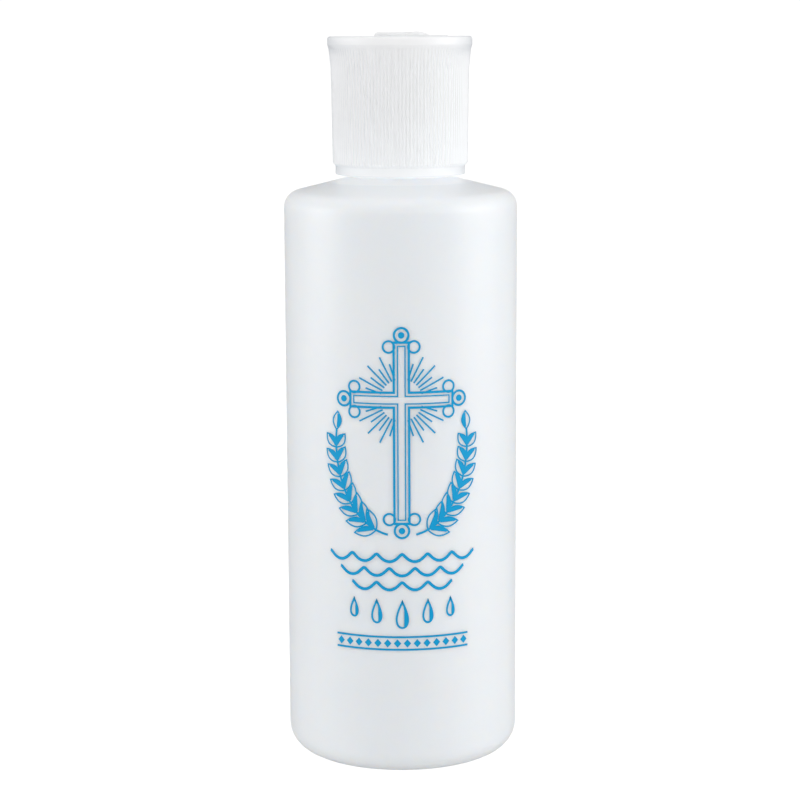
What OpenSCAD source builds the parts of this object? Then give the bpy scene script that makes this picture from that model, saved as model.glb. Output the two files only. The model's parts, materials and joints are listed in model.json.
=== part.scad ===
// Holy water bottle: a round squeeze bottle with a ribbed screw cap and a flip-up spout.
// Millimetres, +Z up. The origin is the centre of the ring that the bottle stands on.
// The front faces -Y. The closed spout lies towards -X.

/* [Bottle] */
// Outside diameter of the barrel
body_d = 48; // [42:0.5:60]
// Height of the corner where the barrel's wall would meet the shoulder
shoulder_h = 116.9; // [60:0.1:160]
// Slope of the shoulder, in degrees from level
shoulder_slope = 14; // [8:1:30]
// Rounding of the shoulder's edge
shoulder_r = 3.6; // [2:0.1:7]
// Rounding of the heel
heel_r = 5; // [3:0.5:8]
// Thickness of the moulded wall
wall_t = 1; // [0.6:0.1:1.5]
// Width of the flat ring that the bottle stands on
foot_w = 3; // [1.5:0.5:5]
// Height of the dome in the middle of the base
dome_h = 3; // [1:0.5:6]

/* [Neck] */
// Outside diameter of the neck between its threads
neck_d = 21.5; // [21:0.1:22.4]
// Diameter over the neck's thread
thread_d = 24; // [23.4:0.1:24.6]
// Bore of the neck
bore_d = 16.8; // [15.6:0.1:18]
// Height of the neck above the shoulder
neck_h = 16.8; // [14:0.1:22]
// Rounding of the neck's root and of its top edges
neck_edge_r = 0.4; // [0.2:0.1:0.7]
// Rise of the thread in one turn
pitch = 3.175; // [3:0.005:3.6]
// Turns of thread on the neck, and in the cap
thread_turns = 1.5; // [1:0.25:2]
// Plain land between the neck's top and its thread
thread_land = 1.2; // [0.8:0.1:2]
// Width of the neck thread's crest
neck_crest_w = 1; // [0.6:0.05:1.2]
// Width of the neck thread's foot
neck_foot_w = 2.2; // [1.5:0.05:2.4]
// Width of the cap thread's crest
cap_crest_w = 0.7; // [0.4:0.05:0.8]
// Width of the cap thread's foot
cap_foot_w = 1.7; // [1:0.05:1.8]

/* [Fits] */
// Radial clearance between the neck's thread and the cap
thread_gap = 0.3; // [0.2:0.05:0.4]
// Gap between the cap's lower edge and the shoulder
skirt_gap = 1.15; // [0.5:0.05:3]
// Radial clearance of the spout's pins in the cradle
pin_gap = 0.05; // [0.02:0.01:0.1]
// Clearance of the spout's hub in the round of the cradle
hub_gap = 0.15; // [0.1:0.05:0.3]
// Gap between the liner's seat and the cradle's floor
cradle_gap = 0.4; // [0.2:0.1:1]
// Clearance at each side of the hub and of the thumb plate
side_gap = 0.2; // [0.1:0.05:0.4]
// Clearance under the nozzle when it lies in the cap
nozzle_gap = 0.4; // [0.2:0.1:0.8]

/* [Liner] */
// Thickness of the foam washer
liner_t = 1; // [0.6:0.1:2]

/* [Cap] */
// Wall of the cap at its plain lower band
cap_wall = 1; // [0.9:0.05:1.6]
// Height of the plain lower band
band_h = 1.8; // [1:0.1:4]
// How far the ribbed skirt stands out over the band
skirt_step = 0.55; // [0.4:0.05:0.8]
// Height of the slope between band and skirt
step_h = 0.6; // [0.4:0.1:1.2]
// Widening of the skirt's radius from its foot to the flare
skirt_draft = 0.25; // [0:0.05:0.5]
// Widening of the skirt's radius in the flare
flare_out = 0.42; // [0.2:0.02:0.8]
// Height of the flare under the rim's lip
flare_h = 4; // [2:0.1:6]
// How far the lip stands out over the flare
lip_out = 0.24; // [0.2:0.02:0.6]
// Height of the lip
lip_h = 2.5; // [1.5:0.1:3]
// Thickness of the rim at its top
rim_t = 1.48; // [1.2:0.02:2]
// Rounding of the rim's outer edge
rim_edge_r = 0.6; // [0.3:0.1:0.9]
// Depth of the deck below the rim
deck_drop = 1; // [0.6:0.1:1.5]
// Thickness of the deck, and of the floors of the cradle and the finger well
deck_t = 1.2; // [0.9:0.1:1.6]
// Number of ribs round the skirt
rib_count = 120; // [60:2:140]
// Height of a rib
rib_depth = 0.3; // [0.2:0.05:0.4]
// Width of a rib
rib_w = 0.4; // [0.3:0.05:0.5]

/* [Spout] */
// Diameter of the hub
hub_d = 9.8; // [9.4:0.1:11]
// Width of the hub
hub_w = 7.6; // [7:0.1:8.4]
// Distance of the hub's axis from the cap's axis
hub_x = 3.5; // [3:0.1:4]
// How far the hub's crown stands above the rim
hub_rise = 0.9; // [0.8:0.05:2]
// Diameter of the stub pins
pin_d = 2.4; // [1.6:0.1:3]
// Wall of the cradle round the hub
cradle_wall = 1.2; // [0.9:0.1:1.5]
// How far the cradle's top stands above the rim
cradle_rise = 0.15; // [0:0.05:0.5]
// Length of the nozzle from the hub's axis to the tip
nozzle_len = 11.4; // [10:0.1:12]
// Diameter of the nozzle at the hub
nozzle_d = 5.2; // [4.6:0.1:5.6]
// Diameter of the nozzle at the tip
tip_d = 4; // [3.4:0.1:4.6]
// Diameter of the passage, and of the port under it
passage_d = 2.4; // [1.6:0.1:2.8]
// Length of the thumb plate from the hub's axis
plate_len = 8.7; // [7:0.1:9.5]
// Width of the thumb plate
plate_w = 6.4; // [5.4:0.1:6.8]
// Thickness of the thumb plate
plate_t = 1.2; // [0.9:0.1:1.6]
// How far the thumb plate lies below the hub's crown
plate_drop = 0.1; // [0.05:0.01:0.6]
// Thickness of the web between nozzle and thumb plate
web_t = 1.8; // [1.2:0.1:2.4]

/* [Finger well] */
// Diameter of the finger well in front of the nozzle's tip
well_d = 13; // [12:0.1:13.6]
// Deck left between the finger well and the rim
well_margin = 0.5; // [0.3:0.1:0.7]
// Wall round the finger well, under the deck
well_wall = 1.1; // [0.8:0.1:1.4]

/* [Hidden] */
$fn = 96;

// Steps in a rounded corner and in a dome
arc_steps = 8;
// Steps of a thread in one turn, and steps over which its ends run out
turn_steps = 40;
fade_steps = 4;
// Depth that threads, ribs and the well's cup are sunk into the wall that carries them
sink = 0.4;
// Length that a cut runs past the face it opens
past = 1;

// Bottle
body_r = body_d / 2;
neck_r = neck_d / 2;
bore_r = bore_d / 2;
thread_r = thread_d / 2;
foot_out_r = body_r - heel_r;
foot_in_r = foot_out_r - foot_w;
rise = tan(shoulder_slope);
neck_z = shoulder_z(neck_r);
top_z = neck_z + neck_h;
inside_drop = wall_t / cos(shoulder_slope);
thread_high_z = top_z - thread_land - neck_foot_w / 2;
thread_low_z = thread_high_z - thread_turns * pitch;

// Cap
seat_z = top_z + liner_t;
hub_r = hub_d / 2;
cradle_r = hub_r + hub_gap;
hub_z = seat_z + cradle_gap + deck_t + cradle_r;
rim_z = hub_z + hub_r - hub_rise;
deck_z = rim_z - deck_drop;
deck_low_z = deck_z - deck_t;
skirt_in_r = thread_r + thread_gap;
band_r = skirt_in_r + cap_wall;
skirt_low_r = band_r + skirt_step;
skirt_r = skirt_low_r + skirt_draft;
flare_r = skirt_r + flare_out;
rim_r = flare_r + lip_out;
rim_in_r = rim_r - rim_t;
cap_z = shoulder_z(band_r) + skirt_gap;
band_z = cap_z + band_h;
step_z = band_z + step_h;
lip_z = rim_z - lip_h;
flare_z = lip_z - flare_h;
ring_out_r = neck_r - neck_edge_r;
ring_in_r = bore_r + neck_edge_r;
cap_thread_r = neck_r + thread_gap;

// Spout, cradle and finger well
pin_end = hub_w / 2 + cradle_wall + side_gap / 2;
slot_w = hub_w + 2 * side_gap;
trough_w = plate_w + 2 * side_gap;
well_r = well_d / 2;
well_x = well_r + well_margin - rim_in_r;
well_z = hub_z - nozzle_d / 2 - nozzle_gap;
cradle_len = 2 * (cradle_r + cradle_wall);
cradle_w = slot_w + 2 * cradle_wall;
cradle_edge_r = 1;
plate_edge_r = 0.25;
plate_lead_r = 0.85;

// Height of the shoulder's cone at a radius
function shoulder_z(r) = shoulder_h + (body_r - r) * rise;

// Outline from corners [x, y, rounding]: each rounded corner becomes an arc
function rounded(corners) = [
    for (i = [0 : len(corners) - 1])
        let (n = len(corners))
            each corner_points(corners[(i + n - 1) % n], corners[i], corners[(i + 1) % n])
];
function flat(p) = [p[0], p[1]];
function unit(v) = v / norm(v);
function corner_points(before, here, after) = here[2] == 0
    ? [flat(here)]
    : let (
        u = unit(flat(before) - flat(here)),
        v = unit(flat(after) - flat(here)),
        half = acos(u * v) / 2,
        centre = flat(here) + unit(u + v) * here[2] / sin(half),
        from = flat(here) + u * here[2] / tan(half) - centre,
        turn = (180 - 2 * half) * sign(u[0] * v[1] - u[1] * v[0])
    ) [
        for (i = [0 : arc_steps])
            let (a = atan2(from[1], from[0]) - turn * i / arc_steps)
                centre + here[2] * [cos(a), sin(a)]
    ];

// Half section of a shallow dome: from the axis at height h to radius r at height 0
function dome(r, h, z) =
    let (ball = (r * r + h * h) / (2 * h), reach = asin(r / ball)) [
        for (i = [0 : arc_steps])
            let (a = reach * i / arc_steps)
                [ball * sin(a), z + h - ball * (1 - cos(a))]
    ];
function backwards(list) = [for (i = [len(list) - 1 : -1 : 0]) list[i]];

// Ridge that climbs round the axis. Its foot is sunk in the wall at wall_r, its crest is at crest_r,
// and both of its ends run out into the wall.
module ridge(wall_r, crest_r, foot_w, crest_w, low_z) {
    steps = ceil(thread_turns * turn_steps);
    outward = crest_r > wall_r;
    sunk_r = wall_r + (outward ? -sink : sink);
    buried_r = (wall_r + sunk_r) / 2;
    points = [
        for (i = [0 : steps])
            let (
                a = 360 * i / turn_steps,
                z = low_z + pitch * i / turn_steps,
                fade = min(1, i / fade_steps, (steps - i) / fade_steps),
                r = buried_r + fade * (crest_r - buried_r)
            )
            for (p = [[sunk_r, -foot_w], [r, -crest_w], [r, crest_w], [sunk_r, foot_w]])
                [p[0] * cos(a), p[0] * sin(a), z + p[1] / 2]
    ];
    sides = [
        for (i = [0 : steps - 1], k = [0 : 3])
            let (a = 4 * i + k, b = 4 * i + (k + 1) % 4)
            each [[a, b, b + 4], [a, b + 4, a + 4]]
    ];
    last = 4 * steps;
    ends = [[0, 2, 1], [0, 3, 2], [last, last + 1, last + 2], [last, last + 2, last + 3]];
    faces = concat(sides, ends);
    polyhedron(points, outward ? faces : [for (f = faces) backwards(f)], convexity = 6);
}

// Cylinder along Y through the hub's axis
module across(r, w) {
    translate([hub_x, w / 2, hub_z]) rotate([90, 0, 0]) cylinder(r = r, h = w);
}

// Rectangle with round corners, centred
module round_plan(l, w, r) {
    square([l - 2 * r, w], center = true);
    square([l, w - 2 * r], center = true);
    for (x = [-1, 1], y = [-1, 1])
        translate([x * (l / 2 - r), y * (w / 2 - r)]) circle(r = r);
}

// Bottle: one thin shell from the domed base to the threaded neck
module bottle() {
    color([0.89, 0.92, 0.93]) {
        rotate_extrude() polygon(concat(
            dome(foot_in_r, dome_h, 0),
            rounded([
                [foot_out_r, 0, 0],
                [body_r, 0, heel_r],
                [body_r, shoulder_h, shoulder_r],
                [neck_r, neck_z, neck_edge_r],
                [neck_r, top_z, neck_edge_r],
                [bore_r, top_z, neck_edge_r],
                [bore_r, shoulder_z(bore_r) - inside_drop, 0],
                [body_r - wall_t, shoulder_z(body_r - wall_t) - inside_drop, shoulder_r - wall_t],
                [body_r - wall_t, wall_t, heel_r - wall_t],
                [foot_out_r, wall_t, 0]
            ]),
            backwards(dome(foot_in_r, dome_h, wall_t))
        ));
        ridge(neck_r, thread_r, neck_foot_w, neck_crest_w, thread_low_z);
    }
}

// Liner: foam washer between the neck's top and the cap
module liner() {
    color([0.96, 0.96, 0.94])
        translate([0, 0, top_z]) difference() {
            cylinder(r = neck_r + thread_gap / 2, h = liner_t);
            translate([0, 0, -past]) cylinder(r = bore_r - neck_edge_r, h = liner_t + 2 * past);
        }
}

// Skirt, rim, deck and seal ring in one turned shell, smooth under the ribs
module cap_shell() {
    rotate_extrude() polygon(rounded([
        [skirt_in_r, cap_z, 0],
        [band_r, cap_z, rim_edge_r / 2],
        [band_r, band_z, 0],
        [skirt_low_r - rib_depth, step_z, 0],
        [skirt_r - rib_depth, flare_z, 0],
        [flare_r - rib_depth, lip_z, 0],
        [rim_r, lip_z + lip_out, rim_edge_r / 2],
        [rim_r, rim_z, rim_edge_r],
        [rim_in_r, rim_z, rim_edge_r / 2],
        [rim_in_r, deck_z, 0],
        [0, deck_z, 0],
        [0, deck_low_z, 0],
        [ring_in_r, deck_low_z, 0],
        [ring_in_r, seat_z, 0],
        [ring_out_r, seat_z, 0],
        [ring_out_r, deck_low_z, 0],
        [skirt_in_r, deck_low_z, 0]
    ]));
}

// One grip rib, from the slope over the band up to the lip
module rib() {
    translate([0, rib_w / 2, 0]) rotate([90, 0, 0]) linear_extrude(rib_w) polygon([
        [band_r - sink, band_z],
        [band_r, band_z],
        [skirt_low_r, step_z],
        [skirt_r, flare_z],
        [flare_r, lip_z + lip_out],
        [flare_r - rib_depth - sink, lip_z + lip_out],
        [skirt_r - rib_depth - sink, flare_z],
        [skirt_low_r - rib_depth - sink, step_z]
    ]);
}

// Block that holds the hub, standing on the deck and hanging under it
module cradle_block() {
    low_z = hub_z - cradle_r - deck_t;
    translate([hub_x, 0, low_z])
        linear_extrude(rim_z + cradle_rise - low_z) round_plan(cradle_len, cradle_w, cradle_edge_r);
}

// Cup of the finger well, under the deck
module well_block() {
    translate([0, 0, well_z - deck_t]) intersection() {
        translate([well_x, 0, 0]) cylinder(r = well_r + well_wall, h = deck_z - well_z + deck_t);
        cylinder(r = skirt_in_r + sink, h = deck_z - well_z + deck_t);
    }
}

// Room for the spout: hub, trough, finger well, pins and port
module cap_cuts() {
    top = rim_z + cradle_rise + past;
    across(cradle_r, slot_w);
    translate([hub_x - cradle_r, -slot_w / 2, hub_z]) cube([2 * cradle_r, slot_w, top - hub_z]);
    translate([well_x, -trough_w / 2, well_z]) cube([hub_x - well_x, trough_w, top - well_z]);
    translate([well_x, 0, well_z]) cylinder(r = well_r, h = top - well_z);
    across(pin_d / 2 + pin_gap, cradle_w + past);
    translate([hub_x, 0, seat_z]) cylinder(d = passage_d, h = hub_z - seat_z);
}

// Cap: ribbed skirt with the thread inside, and a head that carries the spout
module cap() {
    color([0.93, 0.94, 0.95]) difference() {
        union() {
            cap_shell();
            for (i = [0 : rib_count - 1])
                rotate(360 * i / rib_count) rib();
            cradle_block();
            well_block();
            ridge(skirt_in_r, cap_thread_r, cap_foot_w, cap_crest_w, thread_low_z - pitch / 2);
        }
        cap_cuts();
    }
}

// Spout: hub with two stub pins, nozzle, and a thumb plate on a web
module spout() {
    plate_z = hub_r - plate_drop;
    color([0.95, 0.95, 0.96]) difference() {
        union() {
            across(hub_r, hub_w);
            across(pin_d / 2, 2 * pin_end);
            translate([hub_x, 0, hub_z]) {
                rotate([0, -90, 0]) cylinder(d1 = nozzle_d, d2 = tip_d, h = nozzle_len);
                translate([0, plate_w / 2, 0]) rotate([90, 0, 0]) linear_extrude(plate_w)
                    polygon(rounded([
                        [0, plate_z - plate_t, 0],
                        [0, plate_z, 0],
                        [-plate_len, plate_z, plate_lead_r],
                        [-plate_len, plate_z - plate_t, plate_edge_r]
                    ]));
                translate([-plate_len + plate_t, -web_t / 2, 0])
                    cube([plate_len - plate_t, web_t, plate_z - plate_t / 2]);
            }
        }
        translate([hub_x + hub_r + past, 0, hub_z]) rotate([0, -90, 0])
            cylinder(d = passage_d, h = hub_r + nozzle_len + 2 * past);
    }
}

bottle();
liner();
cap();
spout();
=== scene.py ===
# %% [markdown]
# # A holy water bottle
# The real object is a milky squeeze bottle with a blue print on its front, closed by a ribbed screw cap
# whose spout flips up to pour. The solid model gives the size of every piece and the way it moves.
# This lesson dresses those solids: each one is replaced by a finer mesh in the same place.

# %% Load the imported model
import json
import math

import bmesh
import bpy
from mathutils import Matrix, Vector


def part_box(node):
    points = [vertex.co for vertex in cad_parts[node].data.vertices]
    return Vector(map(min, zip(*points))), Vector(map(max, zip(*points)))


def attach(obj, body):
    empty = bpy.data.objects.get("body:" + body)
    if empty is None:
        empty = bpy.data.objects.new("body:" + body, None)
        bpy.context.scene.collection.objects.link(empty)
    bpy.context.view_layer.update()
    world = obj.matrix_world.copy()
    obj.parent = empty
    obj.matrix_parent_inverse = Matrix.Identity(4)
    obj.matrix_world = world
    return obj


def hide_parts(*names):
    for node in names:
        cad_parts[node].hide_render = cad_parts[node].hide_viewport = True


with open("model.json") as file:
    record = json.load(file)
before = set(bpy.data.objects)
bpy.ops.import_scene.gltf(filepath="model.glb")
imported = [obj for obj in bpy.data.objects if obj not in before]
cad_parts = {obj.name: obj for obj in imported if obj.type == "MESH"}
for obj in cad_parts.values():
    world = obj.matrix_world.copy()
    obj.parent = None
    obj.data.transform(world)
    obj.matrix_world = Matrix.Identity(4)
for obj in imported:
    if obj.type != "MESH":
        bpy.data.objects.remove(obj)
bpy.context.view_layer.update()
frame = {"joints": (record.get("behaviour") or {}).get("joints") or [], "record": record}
MM = 0.001
mounts = {m["name"]: m for m in frame["record"]["mounts"]}
joints = {j["name"]: j for j in frame["joints"]}

# %% [markdown]
# ## Camera
# The lens and the place of the camera were worked out from the bottle's outline: how fast its sides draw
# together, how round its bottom edge looks and where its flat rim is seen edge on. The rim looks level,
# so the camera stands at the height of the rim and is tipped down to take in the whole bottle.

# %% Camera at the photograph's viewing angle
PICTURE_PX = 800
FOCAL_PX = 2262
CAMERA_DISTANCE = 465.8 * MM
CAMERA_DOWN = math.radians(9.14)
CAMERA_ROLL = math.radians(-0.26)
CAMERA_SIDE = -0.28 * MM

# The cradle of the spout stands this much over the rim
CRADLE_RISE = 0.15 * MM
rim_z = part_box("cap")[1].z - CRADLE_RISE

camera_data = bpy.data.cameras.new("camera")
camera_data.sensor_width = 36
camera_data.lens = camera_data.sensor_width * FOCAL_PX / PICTURE_PX
camera_data.clip_start = 0.01
camera = bpy.data.objects.new("camera", camera_data)
camera.matrix_world = (
    Matrix.Translation((CAMERA_SIDE, -CAMERA_DISTANCE, rim_z))
    @ Matrix.Rotation(math.pi / 2 - CAMERA_DOWN, 4, "X")
    @ Matrix.Rotation(CAMERA_ROLL, 4, "Z")
)
bpy.context.scene.collection.objects.link(camera)
bpy.context.scene.camera = camera
print("lens", round(camera_data.lens, 1), "mm, rim at", round(rim_z / MM, 2), "mm")

# %% [markdown]
# ## Helpers for turned pieces
# Nearly everything on this bottle is turned round one axis, so one helper spins an outline into a mesh.
# An outline is a list of corners, each with its own rounding. Before it is spun, long stretches are split,
# so that threads, ribs and seams have points to push in and out.

# %% Outlines with round corners
CORNER_STEPS = 8


def rounded(corners, steps=CORNER_STEPS):
    """Outline of (x, y, rounding) corners in which every rounded corner is an arc."""
    points = []
    for i, (x, y, radius) in enumerate(corners):
        here = Vector((x, y))
        if not radius:
            points.append(here)
            continue
        u = (Vector(corners[i - 1][:2]) - here).normalized()
        v = (Vector(corners[(i + 1) % len(corners)][:2]) - here).normalized()
        half = u.angle(v) / 2
        centre = here + (u + v).normalized() * radius / math.sin(half)
        start = here + u * radius / math.tan(half) - centre
        sweep = math.copysign(math.pi - 2 * half, v.x * u.y - v.y * u.x)
        for k in range(steps + 1):
            points.append(centre + Matrix.Rotation(sweep * k / steps, 2) @ start)
    return points


def split_long(points, longest, closed):
    """The same outline, with no stretch longer than longest(middle of the stretch)."""
    ends = points[1:] + points[:1] if closed else points[1:]
    out = []
    for a, b in zip(points, ends):
        pieces = max(1, math.ceil((b - a).length / longest((a + b) / 2)))
        out += [a.lerp(b, k / pieces) for k in range(pieces)]
    return out if closed else out + points[-1:]


def dome(radius, height, z, steps=CORNER_STEPS):
    """Half section of a shallow dome, from the axis out to its edge at z."""
    ball = (radius**2 + height**2) / (2 * height)
    reach = math.asin(radius / ball)
    turns = [reach * k / steps for k in range(steps + 1)]
    return [Vector((ball * math.sin(t), z + height - ball * (1 - math.cos(t)))) for t in turns]


square = rounded([(0, 0, 0), (1, 0, 0), (1, 1, 0.2), (0, 1, 0)])
print("a square with one round corner has", len(square), "points")

# %% Meshes from outlines
WELD = 1e-7
SHARP = math.radians(40)


def even_turns(count):
    """Angles of columns spread evenly round the axis."""
    return [2 * math.pi * k / count for k in range(count)]


def finish_mesh(name, bm):
    """Welds a bmesh, turns its faces outward and makes it a smooth-shaded object."""
    bmesh.ops.remove_doubles(bm, verts=bm.verts, dist=WELD)
    bmesh.ops.recalc_face_normals(bm, faces=bm.faces)
    mesh = bpy.data.meshes.new(name)
    bm.to_mesh(mesh)
    bm.free()
    mesh.shade_smooth()
    mesh.set_sharp_from_angle(angle=SHARP)
    piece = bpy.data.objects.new(name, mesh)
    bpy.context.scene.collection.objects.link(piece)
    return piece


def spin(name, outline, turns, closed, shape=None):
    """Turns (radius, z) points in mm round Z. shape(i, radius, z, angle) gives the true radius of point i."""
    bm = bmesh.new()
    columns = []
    for a in turns:
        c, s = math.cos(a), math.sin(a)
        column = []
        for i, p in enumerate(outline):
            r = shape(i, p.x, p.y, a) if shape else p.x
            column.append(bm.verts.new((r * c * MM, r * s * MM, p.y * MM)))
        columns.append(column)
    rows = len(outline) if closed else len(outline) - 1
    for left, right in zip(columns, columns[1:] + columns[:1]):
        for i in range(rows):
            j = (i + 1) % len(outline)
            bm.faces.new((left[i], right[i], right[j], left[j]))
    return finish_mesh(name, bm)


def smooth_step(low, high, value):
    """0 below low, 1 above high, and an S-shaped rise between them."""
    t = min(1.0, max(0.0, (value - low) / (high - low)))
    return t * t * (3 - 2 * t)


print("smooth step at a quarter, half and three quarters", [smooth_step(0, 4, t) for t in (1, 2, 3)])

# %% [markdown]
# ## The screw thread
# Neck and cap share one thread. A separate coil of mesh would need a boolean, so the thread is pushed out
# of the turned wall instead: for a point at an angle and a height, the distance to the nearest winding
# says how far it moves. The ends fade, as moulded threads do.

# %% Thread shared by neck and cap
PITCH = 3.175
THREAD_TURNS = 1.5
THREAD_DEPTH = 1.25
THREAD_FADE = math.radians(36)
THREAD_START = 1.2
NECK_THREAD_FOOT, NECK_THREAD_CREST = 2.2, 1.0
CAP_THREAD_FOOT, CAP_THREAD_CREST = 1.7, 0.7
NECK_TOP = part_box("bottle")[1].z / MM
THREAD_HIGH = NECK_TOP - THREAD_START - NECK_THREAD_FOOT / 2
THREAD_LOW = THREAD_HIGH - THREAD_TURNS * PITCH


def thread_rise(z, angle, low_z, foot_w, crest_w):
    """How much of the thread's depth a point at this height and angle has, from 0 to 1."""
    rise = 0.0
    for lap in range(math.ceil(THREAD_TURNS)):
        along = angle % (2 * math.pi) + 2 * math.pi * lap
        left = 2 * math.pi * THREAD_TURNS - along
        if left <= 0:
            continue
        off = abs(z - low_z - PITCH * along / (2 * math.pi))
        fade = smooth_step(0, THREAD_FADE, min(along, left))
        rise = max(rise, fade * smooth_step(-foot_w / 2, -crest_w / 2, -off))
    return rise


print("neck top", round(NECK_TOP, 2), "thread from", round(THREAD_LOW, 2), "to", round(THREAD_HIGH, 2))

# %% [markdown]
# ## Bottle shell
# The bottle is blown in a mould of two halves. That leaves a fine raised line down both sides, a thick
# pinched seam across the base where the tube of plastic was cut off, and walls that are not perfectly
# true. The shell has an inside as well as an outside, because light passes through it.

# %% Sizes of the bottle
BODY_R = mounts["barrel"]["dims"]["r_mm"]
BARREL_LOW = mounts["barrel"]["pos_m"][2] / MM - mounts["barrel"]["dims"]["length_mm"] / 2
BARREL_HIGH = BARREL_LOW + mounts["barrel"]["dims"]["length_mm"]
SHOULDER_SLOPE = math.radians(14)
SHOULDER_R = 3.6
HEEL_R = 5
WALL = 1
FOOT_W = 3
DOME_H = 3
NECK_R = 10.75
NECK_EDGE = 0.4
NECK_ROOT = 2
BORE_R = 8.4
SHOULDER_H = BARREL_HIGH + SHOULDER_R * math.tan((math.pi / 2 - SHOULDER_SLOPE) / 2)
FOOT_OUT = BODY_R - HEEL_R
FOOT_IN = FOOT_OUT - FOOT_W
INSIDE_DROP = WALL / math.cos(SHOULDER_SLOPE)


def shoulder_at(radius):
    """Height of the shoulder's cone at a radius."""
    return SHOULDER_H + (BODY_R - radius) * math.tan(SHOULDER_SLOPE)


print("barrel", round(BARREL_LOW, 2), "to", round(BARREL_HIGH, 2), "shoulder corner", round(SHOULDER_H, 2))

# %% Outline of the bottle
outside = dome(FOOT_IN, DOME_H, 0) + rounded([
    (FOOT_OUT, 0, 0),
    (BODY_R, 0, HEEL_R),
    (BODY_R, SHOULDER_H, SHOULDER_R),
    (NECK_R, shoulder_at(NECK_R), NECK_EDGE),
    (NECK_R, NECK_TOP, NECK_EDGE),
    (BORE_R, NECK_TOP, 0),
])
inside = rounded([
    (BORE_R, NECK_TOP, NECK_EDGE),
    (BORE_R, shoulder_at(BORE_R) - INSIDE_DROP, NECK_ROOT),
    (BODY_R - WALL, shoulder_at(BODY_R - WALL) - INSIDE_DROP, SHOULDER_R - WALL),
    (BODY_R - WALL, WALL, HEEL_R - WALL),
    (FOOT_OUT, WALL, 0),
])
inside += dome(FOOT_IN, DOME_H, WALL)[::-1]
NECK_ROW = 0.16
BARREL_ROW = 2.5


def bottle_row(middle):
    """Longest stretch of the outline: short where the thread is, long on the plain barrel."""
    on_neck = middle.x > NECK_R - NECK_EDGE / 2 and middle.y > shoulder_at(NECK_R) + NECK_EDGE
    return NECK_ROW if on_neck and middle.x < NECK_R + NECK_EDGE else BARREL_ROW


outside = split_long(outside[:-1], bottle_row, closed=False)
inside = split_long(inside, bottle_row, closed=False)
bottle_outline = outside + inside
print("bottle outline", len(outside), "points outside,", len(inside), "inside")

# %% Seams and unevenness of the blown wall
SEAM_PROUD = 0.04
SEAM_HALF = 0.16
WAVE = 0.02
PINCH_PROUD = 0.35
PINCH_HALF = 0.5
PINCH_LENGTH = 14
PINCH_FADE = 3
NEAR = 0.01


def barrel_radius(z, angle):
    """Radius of the outer wall, a little untrue as blown plastic is, and never over the solid's."""
    slow = math.sin(2 * angle + 0.7 + 0.02 * z) + math.sin(3 * angle + 0.05 * z)
    return BODY_R - SEAM_PROUD - WAVE * (1 + 0.5 * slow)


def seam(radius, angle):
    """Height of the mould's parting line, which runs down the left and the right side."""
    arc = radius * abs(math.sin(angle))
    return SEAM_PROUD * math.exp(-((arc / SEAM_HALF) ** 2))


def bottle_shape(i, r, z, angle):
    """True radius on the bottle: inside and base as drawn, neck with its thread, the rest a little uneven."""
    if i >= len(outside) or (r < FOOT_OUT and z <= DOME_H):
        return r
    if z > shoulder_at(NECK_R) and r <= NECK_R + NEAR:
        rise = 0
        if r > NECK_R - NEAR:
            rise = thread_rise(z, angle, THREAD_LOW, NECK_THREAD_FOOT, NECK_THREAD_CREST)
        return r - SEAM_PROUD + THREAD_DEPTH * rise + seam(r, angle)
    return r - BODY_R + barrel_radius(z, angle) + seam(r, angle)


around = [barrel_radius(BARREL_HIGH / 2, a) for a in even_turns(360)]
print("wall between the seams from", round(min(around), 3), "to", round(max(around), 3), "mm in radius")

# %% Bottle shell
BOTTLE_COLUMNS = 240
SEAM_STEPS = (0.06, 0.12, 0.2, 0.3, 0.45, 0.7)
bottle_turns = set(even_turns(BOTTLE_COLUMNS))
for side in (0, math.pi):
    for step in SEAM_STEPS:
        bottle_turns |= {(side + step / BODY_R) % (2 * math.pi), (side - step / BODY_R) % (2 * math.pi)}
bottle = spin("bottle_shell", bottle_outline, sorted(bottle_turns), False, bottle_shape)
for v in bottle.data.vertices:
    x, y, z = v.co / MM
    on_base = math.hypot(x, y) < FOOT_IN and z < DOME_H + WALL / 2
    if on_base and abs(x) < PINCH_LENGTH:
        runs_out = smooth_step(0, PINCH_FADE, PINCH_LENGTH - abs(x))
        v.co.z -= PINCH_PROUD * runs_out * smooth_step(-PINCH_HALF, -PINCH_HALF / 3, -abs(y)) * MM
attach(bottle, "bottle")
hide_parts("bottle")
print("bottle shell", len(bottle.data.polygons), "faces")

# %% [markdown]
# ## Liner
# A foam washer seals the neck. It is hidden in use and shows only from below when the cap is off, with a
# dent where the neck's lip has pressed into it. A plain ring would do at this size, but spinning an outline
# costs no more, and the dent is then a matter of lifting a few points of that outline.

# %% Liner
LINER_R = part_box("liner")[1].x / MM
LINER_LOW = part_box("liner")[0].z / MM
LINER_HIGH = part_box("liner")[1].z / MM
LINER_IN = BORE_R - NECK_EDGE
LINER_EDGE = 0.18
LINER_ROW = 0.25
LINER_COLUMNS = 120
DENT = 0.06
DENT_EDGE = 0.5
liner_outline = split_long(rounded([
    (LINER_IN, LINER_LOW, LINER_EDGE),
    (LINER_R, LINER_LOW, LINER_EDGE),
    (LINER_R, LINER_HIGH, LINER_EDGE),
    (LINER_IN, LINER_HIGH, LINER_EDGE),
], 3), lambda middle: LINER_ROW, closed=True)
for p in liner_outline:
    pressed = smooth_step(BORE_R, BORE_R + DENT_EDGE, p.x) * smooth_step(-NECK_R, -NECK_R + DENT_EDGE, -p.x)
    if p.y < LINER_LOW + LINER_EDGE:
        p.y += DENT * pressed
liner = spin("liner_washer", liner_outline, even_turns(LINER_COLUMNS), True)
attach(liner, "liner")
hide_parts("liner")
print("liner", len(liner.data.polygons), "faces")

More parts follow.
